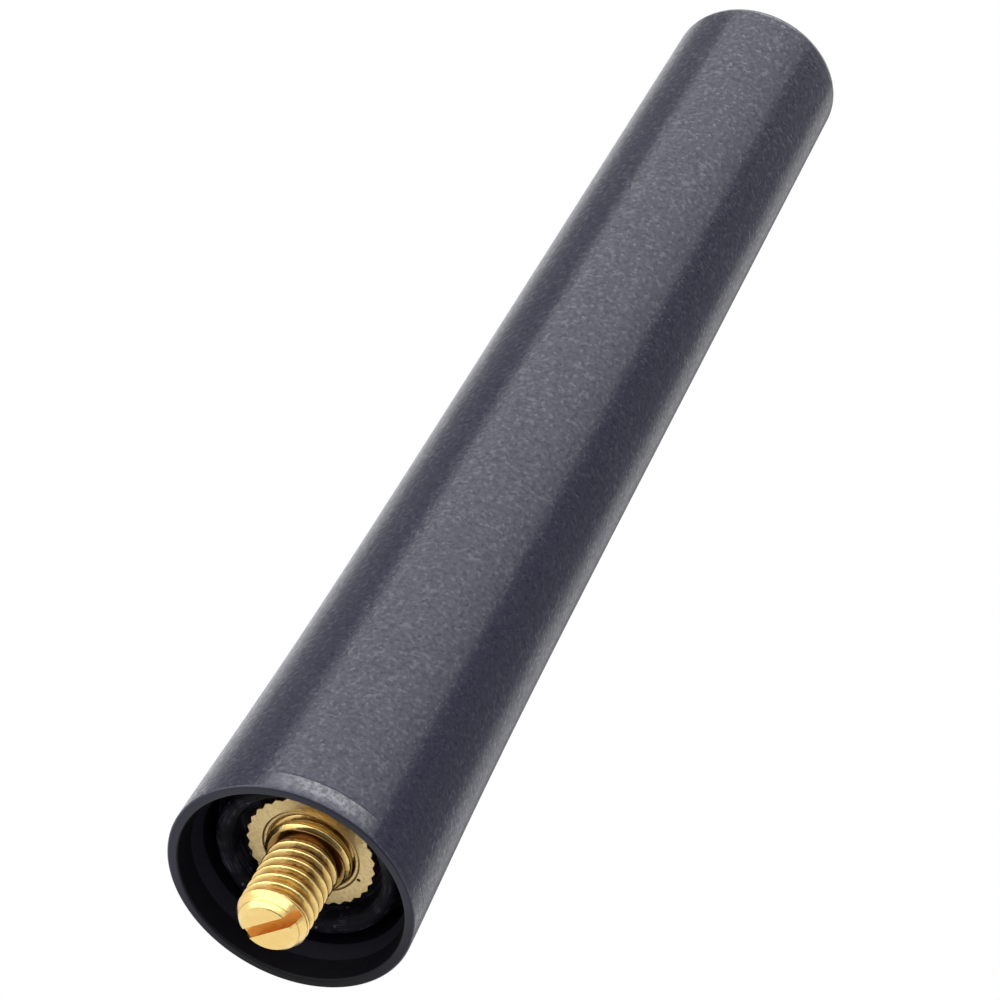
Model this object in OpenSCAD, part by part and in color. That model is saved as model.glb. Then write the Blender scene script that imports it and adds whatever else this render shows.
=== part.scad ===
// Car mast aerial: a short tapered sleeve over a wound rod, screwed down by a stepped brass stud
// Millimetres. The axis is Z, the sleeve's mouth is at z = 0 and its closed tip points to +Z.

/* [Sleeve] */
// Length of the sleeve from its mouth to its tip
sleeve_length = 94; // [80:1:160]
// Radius of the sleeve at its mouth
mouth_r = 8.6; // [8.4:0.1:12]
// Radius of the sleeve at its tip
tip_r = 6.29; // [5.9:0.01:8]
// How far the flare stands out from the straight taper at the mouth
flare_extra = 0.63; // [0.2:0.01:1.2]
// Height over which the flare dies away
flare_height = 15.3; // [8:0.1:30]
// How squarely the flare starts at the mouth
flare_power = 1.36; // [1:0.01:2]
// Radius of the rounding round the tip
tip_edge_r = 0.9; // [0.3:0.1:2]
// Height of the plain lip round the mouth
lip_height = 1.6; // [0.8:0.1:3]
// How far the lip's top edge stands out of the flare
lip_step = 0.03; // [0.02:0.01:0.1]
// Height of the small shoulder between the lip and the flare
lip_shoulder = 0.1; // [0.05:0.01:0.3]
// Size of the broken edges of the rim
rim_edge = 0.12; // [0.05:0.01:0.2]
// Thickness of the rim at the mouth
rim_wall = 0.75; // [0.5:0.05:1.2]
// Thickness of the sleeve along its straight taper
body_wall = 1.4; // [1:0.1:1.8]
// Thickness of plastic that closes the tip
tip_wall = 3; // [1.5:0.1:6]

/* [Mouth] */
// Depth of the wide recess just inside the mouth
recess_depth = 1.55; // [1:0.05:2]
// How much the recess narrows over its depth
recess_draft = 0.3; // [0.1:0.05:0.5]
// Height of the sloping ledge below the recess
ledge_height = 1.15; // [0.5:0.05:1.5]
// How much the ledge narrows the bore
ledge_step = 0.4; // [0.2:0.05:0.8]

/* [Base plug] */
// Depth of the plug's outer shoulder below the mouth
plug_depth = 5.2; // [4.6:0.1:6]
// Height of the plug from its shoulder to its back
plug_height = 8; // [7:0.1:12]
// Depth of the ridge's crest below the mouth
ridge_depth = 2.55; // [2:0.05:3]
// Width of the rounded ridge
ridge_width = 1.2; // [0.8:0.05:1.6]
// Width of the gap between the ridge and the bore
ridge_gap = 0.71; // [0.4:0.01:1]
// Depth of the recess between the ridge and the flange
well_depth = 4.45; // [4:0.05:4.9]
// How far the snap bead stands out of the plug
bead_proud = 0.3; // [0.15:0.05:0.5]
// Height of the snap bead above the plug's shoulder
bead_rise = 3.6; // [2:0.1:5]

/* [Threaded insert] */
// Depth of the flange's face below the mouth
flange_depth = 3.6; // [3.2:0.05:4]
// Radius at the tips of the flange's teeth
flange_r = 4.52; // [4.3:0.01:4.8]
// Height of the teeth round the flange
tooth_height = 0.2; // [0.15:0.01:0.4]
// Number of teeth round the flange
flange_teeth = 31; // [20:1:48]
// Angle of the first of those teeth round the axis
flange_turn = 7; // [0:1:12]
// Thickness of the toothed flange
flange_thickness = 1.5; // [1.2:0.1:2]
// Wall of the insert's barrel outside its thread
barrel_wall = 0.7; // [0.5:0.05:1]
// Width of each of the two grooves round the barrel
groove_width = 1; // [0.5:0.1:1.5]
// Width of the knurled band between the grooves
band_width = 3; // [1.5:0.1:4]
// How far the knurled band stands out of the barrel
band_rise = 0.5; // [0.3:0.05:0.8]
// Number of teeth round the knurled band
band_teeth = 28; // [16:1:40]
// Width of the plain collar behind the second groove
collar_width = 1; // [0.6:0.1:2]
// Thickness of the web between the threaded hole and the socket
web_thickness = 0.8; // [0.5:0.1:1.5]
// How far the ferrule stands out of the plug's back
ferrule_length = 6; // [4:0.5:10]
// Wall of the ferrule round the rod's spigot
ferrule_wall = 0.75; // [0.5:0.05:1]
// Width of the countersink round the threaded hole
countersink = 0.27; // [0.1:0.01:0.5]

/* [Stud] */
// Outer radius of the stud's thread
thread_r = 2.5; // [2:0.05:2.9]
// Outer radius of the thicker thread in the insert
neck_r = 2.97; // [2.8:0.01:3.2]
// How far the full thread reaches out of the mouth
thread_reach = 2.9; // [1:0.1:8]
// How far the neck stands out of the flange
neck_rise = 0.9; // [0.4:0.05:1]
// Size of the chamfers at both ends of the neck
neck_chamfer = 0.3; // [0.1:0.05:0.4]
// Height of the relief between neck and thread
relief_height = 0.3; // [0.2:0.05:0.6]
// Depth of the relief below the thread's outside
relief_cut = 0.4; // [0.2:0.05:0.6]
// Height of the stud's lead chamfer
lead_height = 0.65; // [0.3:0.05:1]
// How much the lead chamfer narrows the stud
lead_cut = 0.38; // [0.2:0.01:0.5]
// Height of the steeper nose beyond the lead chamfer
nose_height = 0.36; // [0.3:0.01:1]
// How much the nose narrows the stud
nose_cut = 0.35; // [0.3:0.01:0.8]
// Width of the driver slot
slot_width = 0.8; // [0.5:0.05:1.2]
// Depth of the driver slot
slot_depth = 1.2; // [0.8:0.05:2]
// Direction of the driver slot round the axis
slot_angle = -54; // [-180:1:180]

/* [Wound rod] */
// Radius of the rod that carries the winding
rod_r = 3; // [2.6:0.05:3.3]
// Length of the rod's tip held in the sleeve
tip_hold = 6; // [4:0.5:10]
// Size of the bevel round the rod's tip
rod_bevel = 0.5; // [0.2:0.1:1]
// Radius of the winding's wire
wire_r = 0.3; // [0.2:0.02:0.36]
// Number of turns of wire on the rod
wire_turns = 34; // [20:1:36]
// Bare length of the ferrule below the winding
wire_start = 1.6; // [1.4:0.1:3]
// Bare length of the rod above the winding
wire_stop = 5; // [3:0.5:12]
// Angle that the solder bead covers round the ferrule
solder_angle = 60; // [30:5:120]
// Wall of the shrunk tube over the winding
tube_wall = 0.3; // [0.2:0.05:0.4]
// Length of the tube that laps past each end of the winding
tube_lap = 0.6; // [0.3:0.1:0.8]

/* [Fits] */
// Play between the plug and the sleeve's bore
plug_clear = 0.04; // [0.02:0.01:0.1]
// Play round the insert where the plug grips it
grip_clear = 0.02; // [0.01:0.01:0.05]
// Play between the two meeting threads
thread_clear = 0.03; // [0.01:0.01:0.05]
// Play of the rod in its two sockets
rod_clear = 0.03; // [0.01:0.01:0.1]
// Play between faces that seat on each other
seat_clear = 0.02; // [0.01:0.01:0.05]
// Play under and over the winding
wire_clear = 0.03; // [0.01:0.01:0.1]

/* [Hidden] */

$fn = 96;

// Small overrun that lets a cut pass through a face
over = 0.5;

// Number of straight steps along the flared outside
flare_steps = 28;
// How closely those steps crowd towards the mouth
step_crowding = 1.6;
// Number of steps in each rounded edge
edge_steps = 8;

// Colours
sleeve_colour = [0.24, 0.24, 0.28];
plug_colour = [0.09, 0.09, 0.1];
insert_colour = [0.83, 0.7, 0.42];
stud_colour = [0.8, 0.63, 0.27];
rod_colour = [0.88, 0.86, 0.78];
copper_colour = [0.72, 0.38, 0.2];
solder_colour = [0.72, 0.73, 0.74];
tube_colour = [0.13, 0.13, 0.15];

// Sleeve, derived
taper_mouth_r = mouth_r - flare_extra;
flare_start_z = lip_height + lip_shoulder;
edge_start_z = sleeve_length - tip_edge_r;
recess_r = mouth_r - rim_wall;
recess_floor_r = recess_r - recess_draft;
bore_r = recess_floor_r - ledge_step;
bore_start_z = recess_depth + ledge_height;
bore_end_z = plug_depth + plug_height + seat_clear;
hold_floor_z = sleeve_length - tip_wall;
hold_start_z = hold_floor_z - tip_hold;
hold_r = rod_r + rod_clear;

// Base plug, derived
plug_r = bore_r - plug_clear;
plug_back_z = plug_depth + plug_height;
ridge_outer_r = plug_r - ridge_gap;
ridge_r = ridge_outer_r - ridge_width / 2;
ridge_round = ridge_width / 2;
bead_z = plug_depth + bead_rise;

// Threaded insert, derived
thread_hole_r = neck_r + thread_clear;
barrel_r = thread_hole_r + barrel_wall;
band_r = barrel_r + band_rise;
flange_back_z = flange_depth + flange_thickness;
band_start_z = flange_back_z + groove_width;
band_end_z = band_start_z + band_width;
collar_start_z = band_end_z + groove_width;
collar_end_z = collar_start_z + collar_width;
thread_floor_z = collar_end_z - web_thickness;
ferrule_end_z = plug_back_z + ferrule_length;
ferrule_hole_r = rod_r - ferrule_wall;

// Stud, derived
neck_start_z = flange_depth - neck_rise;
relief_start_z = neck_start_z - relief_height;
stud_end_z = thread_floor_z - seat_clear;
lead_r = thread_r - lead_cut;
nose_r = lead_r - nose_cut;
nose_z = -thread_reach - lead_height - nose_height;

// Winding, derived
rod_start_z = ferrule_end_z + seat_clear;
rod_end_z = hold_floor_z - seat_clear;
spigot_end_z = collar_end_z + seat_clear;
wire_steps = 12;
wire_sides = 6;
wire_seat_r = rod_r / cos(180 / wire_steps) + wire_clear;
wire_path_r = wire_seat_r + wire_r;
wire_outer_r = wire_path_r + wire_r;
wire_start_z = plug_back_z + wire_start;
wire_end_z = hold_start_z - wire_stop;
wire_pitch = (wire_end_z - wire_start_z) / wire_turns;
solder_gap_angle = seat_clear / wire_path_r * 180 / PI;
tube_hole_r = wire_outer_r + wire_clear;
tube_r = tube_hole_r + tube_wall;
tube_start_z = wire_start_z - wire_r - tube_lap;
tube_end_z = wire_end_z + wire_r + tube_lap;

// Cavity round the winding, a straight cone under the taper, then a bevel down to the tip's socket
cavity_start_r = taper_at(bore_end_z) - body_wall;
cavity_bevel = 2;
cavity_end_z = hold_start_z - cavity_bevel;
cavity_end_r = taper_at(cavity_end_z) - body_wall;

// Radius of the straight taper at height z
function taper_at(z) = taper_mouth_r + (tip_r - taper_mouth_r) * z / sleeve_length;

// Radius of the flared outside at height z
function outside_at(z) = taper_at(z) + flare_extra * exp(-pow(z / flare_height, flare_power));

// Outline of a toothed ring: tips at tip radius, valleys at root radius
function toothed_ring(tip, root, teeth) = [
    for (i = [0 : 2 * teeth - 1])
        let (r = i % 2 == 0 ? tip : root, a = 180 * i / teeth)
        [r * cos(a), r * sin(a)]
];

// Sleeve: one moulding, revolved from its flared outside and its stepped inside
function sleeve_outside() = concat(
    [[mouth_r - rim_edge, 0], [mouth_r, rim_edge]],
    [[outside_at(lip_height) + lip_step, lip_height]],
    [for (i = [0 : flare_steps])
        let (z = flare_start_z + (edge_start_z - flare_start_z) * pow(i / flare_steps, step_crowding))
        [outside_at(z), z]],
    [for (i = [1 : edge_steps])
        let (a = 90 * i / edge_steps)
        [outside_at(edge_start_z) - tip_edge_r * (1 - cos(a)), edge_start_z + tip_edge_r * sin(a)]]
);

function sleeve_inside() = [
    [0, sleeve_length],
    [0, hold_floor_z],
    [hold_r, hold_floor_z],
    [hold_r, hold_start_z],
    [cavity_end_r, cavity_end_z],
    [cavity_start_r, bore_end_z],
    [bore_r, bore_end_z],
    [bore_r, bore_start_z],
    [recess_floor_r, recess_depth],
    [recess_r, rim_edge],
    [recess_r + rim_edge, 0]
];

module sleeve() {
    color(sleeve_colour)
    difference() {
        rotate_extrude()
        polygon(concat(sleeve_outside(), sleeve_inside()));
        snap_bead(plug_clear);
    }
}

// Rounded snap bead round the plug, grown to cut its groove in the sleeve
module snap_bead(grow) {
    translate([0, 0, bead_z])
    rotate_extrude()
    translate([plug_r - bead_proud, 0])
    intersection() {
        circle(r = 2 * bead_proud + grow);
        translate([0, -2 * bead_proud - grow])
        square([2 * bead_proud + grow, 4 * bead_proud + 2 * grow]);
    }
}

// Base plug: the black moulding that closes the mouth and grips the insert
function plug_outline() = concat(
    [[0, plug_back_z], [0, well_depth], [ridge_r - ridge_round, well_depth]],
    [for (i = [0 : 2 * edge_steps])
        let (a = 180 + 90 * i / edge_steps)
        [ridge_r + ridge_round * cos(a), ridge_depth + ridge_round + ridge_round * sin(a)]],
    [[ridge_outer_r, plug_depth], [plug_r, plug_depth], [plug_r, plug_back_z]]
);

module base_plug() {
    color(plug_colour)
    difference() {
        union() {
            rotate_extrude()
            polygon(plug_outline());
            snap_bead(0);
        }
        insert_body(grip_clear);
    }
}

// Outside of the insert: toothed flange, two grooves, knurled band, collar and ferrule
module insert_body(grow) {
    rotate([0, 0, flange_turn])
    toothed_disc(flange_r, tooth_height, flange_teeth, flange_depth, flange_back_z, grow);
    translate([0, 0, flange_depth])
    cylinder(r = barrel_r + grow, h = collar_end_z - flange_depth);
    toothed_disc(band_r, tooth_height, band_teeth, band_start_z, band_end_z, grow);
    translate([0, 0, collar_start_z - grow])
    cylinder(r = band_r + grow, h = collar_width + 2 * grow);
    translate([0, 0, collar_end_z])
    cylinder(r = rod_r + grow, h = ferrule_end_z - collar_end_z);
}

// Disc with teeth round its edge between two heights
module toothed_disc(tip, tooth, teeth, from_z, to_z, grow) {
    translate([0, 0, from_z - grow])
    linear_extrude(to_z - from_z + 2 * grow)
    polygon(toothed_ring(tip + grow, tip - tooth + grow, teeth));
}

// Threaded insert: turned brass, with the stud's hole in front and the rod's socket behind
module threaded_insert() {
    color(insert_colour)
    difference() {
        insert_body(0);
        translate([0, 0, flange_depth - over])
        cylinder(r = thread_hole_r, h = thread_floor_z - flange_depth + over);
        translate([0, 0, flange_depth])
        cylinder(r1 = thread_hole_r + countersink, r2 = thread_hole_r, h = countersink);
        translate([0, 0, collar_end_z])
        cylinder(r = ferrule_hole_r, h = ferrule_end_z - collar_end_z + over);
    }
}

// Adapter stud: thick thread into the insert, relief, thinner thread, double chamfer and slot
function stud_outline() = [
    [0, nose_z],
    [nose_r, nose_z],
    [lead_r, -thread_reach - lead_height],
    [thread_r, -thread_reach],
    [thread_r, relief_start_z],
    [thread_r - relief_cut, relief_start_z],
    [thread_r - relief_cut, neck_start_z],
    [neck_r - neck_chamfer, neck_start_z],
    [neck_r, neck_start_z + neck_chamfer],
    [neck_r, stud_end_z - neck_chamfer],
    [neck_r - neck_chamfer, stud_end_z],
    [0, stud_end_z]
];

module adapter_stud() {
    color(stud_colour)
    difference() {
        rotate_extrude()
        polygon(stud_outline());
        rotate([0, 0, slot_angle])
        translate([-thread_r - over, -slot_width / 2, nose_z - over])
        cube([2 * thread_r + 2 * over, slot_width, slot_depth + over]);
    }
}

// Wound rod: a turned spigot in the ferrule, a plain length, and a bevelled tip in the sleeve
module wound_rod() {
    color(rod_colour)
    rotate_extrude()
    polygon([
        [0, spigot_end_z],
        [ferrule_hole_r - rod_clear, spigot_end_z],
        [ferrule_hole_r - rod_clear, rod_start_z],
        [rod_r, rod_start_z],
        [rod_r, rod_end_z - rod_bevel],
        [rod_r - rod_bevel, rod_end_z],
        [0, rod_end_z]
    ]);
}

// One ring of points round the wire, turn t counted from the winding's start
function wire_ring(t) = [
    for (k = [0 : wire_sides - 1])
        let (a = 360 * k / wire_sides, r = wire_path_r + wire_r * cos(a))
        [r * cos(360 * t), r * sin(360 * t), wire_start_z + wire_pitch * t + wire_r * sin(a)]
];

// Winding: one wire swept along a right-hand helix
module coil_wire() {
    rings = wire_turns * wire_steps;
    points = [for (i = [0 : rings]) each wire_ring(i / wire_steps)];
    first_cap = [[for (k = [0 : wire_sides - 1]) k]];
    last_cap = [[for (k = [wire_sides - 1 : -1 : 0]) rings * wire_sides + k]];
    sides = [
        for (i = [0 : rings - 1], k = [0 : wire_sides - 1])
            let (n = (k + 1) % wire_sides, a = i * wire_sides, b = a + wire_sides)
            each [[a + k, b + k, b + n], [a + k, b + n, a + n]]
    ];
    color(copper_colour)
    polyhedron(points, concat(first_cap, sides, last_cap));
}

// Solder: a rounded bead on the ferrule that meets the wire's first end
module solder_joint() {
    bead = wire_outer_r - rod_r - grip_clear;
    color(solder_colour)
    translate([0, 0, wire_start_z])
    rotate([0, 0, -solder_angle - solder_gap_angle])
    rotate_extrude(angle = solder_angle)
    translate([rod_r + grip_clear, 0])
    intersection() {
        circle(r = bead);
        translate([0, -bead])
        square([bead, 2 * bead]);
    }
}

// Shrunk tube that holds the turns in place
module shrink_tube() {
    color(tube_colour)
    translate([0, 0, tube_start_z])
    difference() {
        cylinder(r = tube_r, h = tube_end_z - tube_start_z);
        translate([0, 0, -over])
        cylinder(r = tube_hole_r, h = tube_end_z - tube_start_z + 2 * over);
    }
}

sleeve();
base_plug();
threaded_insert();
adapter_stud();
wound_rod();
coil_wire();
solder_joint();
shrink_tube();
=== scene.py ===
import math

import bpy
import numpy as np
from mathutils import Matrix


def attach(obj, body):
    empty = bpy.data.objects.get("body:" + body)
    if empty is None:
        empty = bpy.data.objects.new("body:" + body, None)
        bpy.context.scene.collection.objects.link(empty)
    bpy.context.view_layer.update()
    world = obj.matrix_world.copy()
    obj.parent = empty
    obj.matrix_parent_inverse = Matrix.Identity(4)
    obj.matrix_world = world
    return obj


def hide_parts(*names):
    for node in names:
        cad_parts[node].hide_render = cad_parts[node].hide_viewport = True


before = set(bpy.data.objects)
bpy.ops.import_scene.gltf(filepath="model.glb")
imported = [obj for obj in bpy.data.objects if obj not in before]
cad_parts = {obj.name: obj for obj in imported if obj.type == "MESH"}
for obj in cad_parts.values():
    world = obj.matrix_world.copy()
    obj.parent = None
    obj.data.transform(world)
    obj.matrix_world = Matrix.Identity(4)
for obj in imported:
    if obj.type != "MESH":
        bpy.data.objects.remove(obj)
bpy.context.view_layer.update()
print("frame loaded: nodes", sorted(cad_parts))

mm = 0.001  # every size below is in millimetres, in the part's own frame
white = (1.0, 1.0, 1.0, 1.0)


# Meshes from numpy grids

def addMesh(name, points, faces, smooth=True):
    # An object at the origin from an array of points in millimetres and a list of faces
    mesh = bpy.data.meshes.new(name)
    mesh.from_pydata((np.asarray(points, float) * mm).tolist(), [], [list(f) for f in faces])
    mesh.validate()
    mesh.polygons.foreach_set("use_smooth", np.full(len(mesh.polygons), smooth))
    mesh.update()
    thing = bpy.data.objects.new(name, mesh)
    bpy.context.scene.collection.objects.link(thing)
    return thing


def gridFaces(rows, columns):
    # Quads between neighbouring rows of a grid whose columns close round the axis
    row, column = np.meshgrid(np.arange(rows - 1), np.arange(columns), indexing="ij")
    ahead = (column + 1) % columns
    quads = np.stack([row * columns + column, row * columns + ahead,
                      (row + 1) * columns + ahead, (row + 1) * columns + column], -1)
    return quads.reshape(-1, 4).tolist()


def turned(name, radius, height):
    # Closed surface round the axis: radius and height are arrays over rows and turning angle,
    # and a point is (radius cos angle, radius sin angle, height)
    rows, columns = radius.shape
    angle = np.arange(columns) * 2 * np.pi / columns
    points = np.stack([radius * np.cos(angle), radius * np.sin(angle), height], -1).reshape(-1, 3)
    # each end row is joined to one point on the axis
    ends = np.array([[0, 0, height[0].mean()], [0, 0, height[-1].mean()]])
    low, high = len(points), len(points) + 1
    ring = np.arange(columns)
    ahead = (ring + 1) % columns
    last = (rows - 1) * columns
    faces = gridFaces(rows, columns)
    faces += np.stack([np.full(columns, low), ahead, ring], -1).tolist()
    faces += np.stack([np.full(columns, high), last + ring, last + ahead], -1).tolist()
    return addMesh(name, np.vstack([points, ends]), faces)


def smoothSteps(corners, step, rounding, blendPoints=6):
    # A profile line through corners, cut into short lengths of about step. Each corner is replaced
    # by a curve of size rounding, or of a little under half the shorter side next to it
    corners = np.asarray(corners, float)
    path = [corners[0]]
    for before, here, after in zip(corners[:-2], corners[1:-1], corners[2:]):
        reach = min(rounding, np.linalg.norm(here - before) / 2.2, np.linalg.norm(after - here) / 2.2)
        start = here + (before - here) / np.linalg.norm(before - here) * reach
        end = here + (after - here) / np.linalg.norm(after - here) * reach
        blend = np.linspace(0, 1, blendPoints)[:, None]
        path += list((1 - blend) ** 2 * start + 2 * blend * (1 - blend) * here + blend ** 2 * end)
    path.append(corners[-1])
    fine = [path[0]]
    for before, after in zip(path[:-1], path[1:]):
        count = max(1, int(np.ceil(np.linalg.norm(after - before) / step)))
        fine += list(before + (after - before) * np.linspace(0, 1, count + 1)[1:, None])
    return np.array(fine)


def revolve(name, profile, columns):
    # The profile's rows of (radius, height) carried once round the axis
    radius = np.repeat(profile[:, :1], columns, 1)
    height = np.repeat(profile[:, 1:], columns, 1)
    return turned(name, radius, height)


# Shader maths as Python expressions

class Wire:
    # A socket that takes part in sums: each operator adds one Math node
    def __init__(self, tree, socket):
        self.tree = tree
        self.socket = socket

    def math(self, operation, *values):
        # One Math node of the values, in their order
        return self.tree.node("ShaderNodeMath", {"operation": operation}, dict(enumerate(values)))

    def __add__(self, other):
        return self.math("ADD", self, other)

    def __radd__(self, other):
        return self.math("ADD", other, self)

    def __sub__(self, other):
        return self.math("SUBTRACT", self, other)

    def __rsub__(self, other):
        return self.math("SUBTRACT", other, self)

    def __mul__(self, other):
        return self.math("MULTIPLY", self, other)

    def __rmul__(self, other):
        return self.math("MULTIPLY", other, self)

    def __truediv__(self, other):
        return self.math("DIVIDE", self, other)

    def __rtruediv__(self, other):
        return self.math("DIVIDE", other, self)

    def __gt__(self, other):
        return self.math("GREATER_THAN", self, other)

    def __lt__(self, other):
        return self.math("LESS_THAN", self, other)

    def __abs__(self):
        return self.math("ABSOLUTE", self)

    def least(self, other):
        # The smaller of two
        return self.math("MINIMUM", self, other)

    def most(self, other):
        # The larger of two
        return self.math("MAXIMUM", self, other)

    def sqrt(self):
        return self.math("SQRT", self)

    def clamp(self):
        # Held between 0 and 1
        return self.most(0.0).least(1.0)

    def rise(self, start, end):
        # 0 at start, 1 at end, straight between them and level beyond; end may be the smaller
        return ((self - start) / (end - start)).clamp()


class NodeTree:
    # The nodes of one material or of the world
    def __init__(self, owner):
        owner.use_nodes = True
        self.nodes = owner.node_tree.nodes
        self.links = owner.node_tree.links

    def node(self, kind, settings, inputs, output=0):
        # Any node: its settings first, then values or links for its inputs
        made = self.nodes.new(kind)
        for key, value in settings.items():
            setattr(made, key, value)
        for key, value in inputs.items():
            if isinstance(value, Wire):
                self.links.new(value.socket, made.inputs[key])
            else:
                made.inputs[key].default_value = value
        return Wire(self, made.outputs[output])

    def shownRays(self):
        # 1 for rays of the camera, of gloss and of glass, and 0 for the light that falls on things
        camera, gloss, glass = [self.node("ShaderNodeLightPath", {}, {}, ray)
                                for ray in ("Is Camera Ray", "Is Glossy Ray", "Is Transmission Ray")]
        return camera.most(gloss).most(glass)

    def show(self, outputNode, amount, first, second):
        # The output shows the two shaders mixed by amount
        mixed = self.node("ShaderNodeMixShader", {}, {0: amount, 1: first, 2: second})
        self.links.new(mixed.socket, self.nodes[outputNode].inputs[0])


class Finish(NodeTree):
    # One material, with its patterns on the object's own coordinates in millimetres
    def __init__(self, name):
        self.material = bpy.data.materials.new(name)
        super().__init__(self.material)
        self.shader = self.nodes["Principled BSDF"]
        place = self.node("ShaderNodeTexCoord", {}, {}, "Object")
        self.place = self.node("ShaderNodeMapping", {"vector_type": "POINT"},
                               {"Vector": place, "Scale": (1 / mm, 1 / mm, 1 / mm)})

    def axes(self):
        # x, y and z in millimetres, and the distance from the axis
        split = self.node("ShaderNodeSeparateXYZ", {}, {0: self.place}).socket.node
        x, y, z = [Wire(self, output) for output in split.outputs]
        return x, y, z, (x * x + y * y).sqrt()

    def noise(self, scale, detail, roughness, vector=None):
        # Noise with about scale bumps to the millimetre
        return self.node("ShaderNodeTexNoise", {}, {"Vector": vector or self.place, "Scale": scale,
                                                    "Detail": detail, "Roughness": roughness})

    def stretched(self, x, y, z, detail, roughness):
        # Noise whose bumps are stretched by three coordinates of its own
        return self.noise(1.0, detail, roughness, self.node("ShaderNodeCombineXYZ", {}, {0: x, 1: y, 2: z}))

    def grains(self, scale):
        # Distance to the nearest of about scale points to the millimetre, and that point's own chance
        distance = self.node("ShaderNodeTexVoronoi", {}, {"Vector": self.place, "Scale": scale}, "Distance")
        colour = Wire(self, distance.socket.node.outputs["Color"])
        return distance, self.node("ShaderNodeSeparateColor", {}, {0: colour})

    def mix(self, amount, first, second):
        # Two colours mixed by amount; the Mix node's colours are its inputs 6 and 7 and its output 2
        first, second = [c if isinstance(c, Wire) else (*c, 1.0) for c in (first, second)]
        return self.node("ShaderNodeMix", {"data_type": "RGBA"}, {0: amount, 6: first, 7: second}, 2)

    def bump(self, height, depth, strength=1.0):
        # Bump of a height signal from 0 to 1 over depth millimetres
        return self.node("ShaderNodeBump", {}, {"Height": height, "Distance": depth * mm,
                                                "Strength": strength})

    def surface(self, **sockets):
        # The Principled shader's sockets as links, colours or numbers; a name's _ stands for a space
        for key, value in sockets.items():
            socket = self.shader.inputs[key.replace("_", " ")]
            if isinstance(value, Wire):
                self.links.new(value.socket, socket)
            else:
                socket.default_value = (*value, 1.0) if isinstance(value, tuple) else value
        return self.material


# Sleeve: the same outline as the CAD node, on a fine grid

sleeveShape = {
    "length": 94.0,
    "mouthR": 8.6,
    "tipR": 6.29,
    "flareExtra": 0.63,
    "flareHeight": 15.3,
    "flarePower": 1.36,
    "tipEdge": 0.9,
    "lipHeight": 1.66,
    "creaseDeep": 0.008,
    "creaseWide": 0.24,
    "rimWall": 0.75,
    "rimEdge": 0.12,
    "bodyWall": 1.4,
    "recessDepth": 1.55,
    "recessDraft": 0.3,
    "ledgeHeight": 1.15,
    "ledgeStep": 0.4,
    "boreEnd": 13.22,
    "grooveR": 0.64,
    "grooveMiddle": (6.81, 8.8),
    "cavityEnd": 83.0,
    "holdStart": 85.0,
    "holdFloor": 91.0,
    "holdR": 3.03,
    "poleR": 0.3,
    "flareStart": 2.0,
    "flareJoin": 2.3,
    "flareEnd": 20.0,
    # lengths and roundings of the profile's steps, and its rows
    "cavityStep": 2.0,
    "cavityRounding": 0.06,
    "mouthStep": 0.2,
    "mouthRounding": 0.05,
    "grooveRows": 15,
    "lipRows": 34,
    "flareRows": 45,
    "bodyRows": 50,
    "tipRows": 12,
    "columns": 200,
}


def sleeveTaper(z):
    # Straight line from the foot of the flare to the tip
    s = sleeveShape
    foot = s["mouthR"] - s["flareExtra"]
    return foot + (s["tipR"] - foot) * z / s["length"]


def sleeveOutside(z):
    # The taper plus a flare that dies away exponentially
    s = sleeveShape
    return sleeveTaper(z) + s["flareExtra"] * np.exp(-(z / s["flareHeight"]) ** s["flarePower"])


def sleeveInside(bore):
    # The profile from the tip's socket down the cavity and the bore to the round snap groove
    s = sleeveShape
    grooveR, (middleR, middleZ) = s["grooveR"], s["grooveMiddle"]
    cavity = smoothSteps([
        (s["poleR"], s["holdFloor"]),
        (s["holdR"], s["holdFloor"]),
        (s["holdR"], s["holdStart"]),
        (sleeveTaper(s["cavityEnd"]) - s["bodyWall"], s["cavityEnd"]),
        (sleeveTaper(s["boreEnd"]) - s["bodyWall"], s["boreEnd"]),
        (bore, s["boreEnd"]),
        (bore, middleZ + grooveR),
    ], s["cavityStep"], s["cavityRounding"])
    reach = math.acos((bore - middleR) / grooveR)
    swing = np.linspace(reach, -reach, s["grooveRows"])
    groove = np.stack([middleR + grooveR * np.cos(swing), middleZ + grooveR * np.sin(swing)], 1)
    return np.vstack([cavity, groove])


def sleeveMouth(recess, floor, bore):
    # The profile from the groove over the ledge and the recess, round the rim and up the lip, whose
    # top edge is a shallow crease: a bell curve that has died away at creaseWide
    s = sleeveShape
    heights = np.linspace(s["rimEdge"], s["lipHeight"] + s["creaseWide"], s["lipRows"])
    crease = np.exp(-((heights - s["lipHeight"]) / s["creaseWide"] * 3) ** 2)
    lip = np.stack([sleeveOutside(heights) - s["creaseDeep"] * crease, heights], 1)
    return smoothSteps([
        (bore, s["grooveMiddle"][1] - s["grooveR"]),
        (bore, s["recessDepth"] + s["ledgeHeight"]),
        (floor, s["recessDepth"]),
        (recess, s["rimEdge"]),
        (recess + s["rimEdge"], 0.0),
        (s["mouthR"] - s["rimEdge"], 0.0),
        *map(tuple, lip),
        (sleeveOutside(s["flareStart"]), s["flareStart"]),
        (sleeveOutside(s["flareJoin"]), s["flareJoin"]),
    ], s["mouthStep"], s["mouthRounding"])


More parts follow.
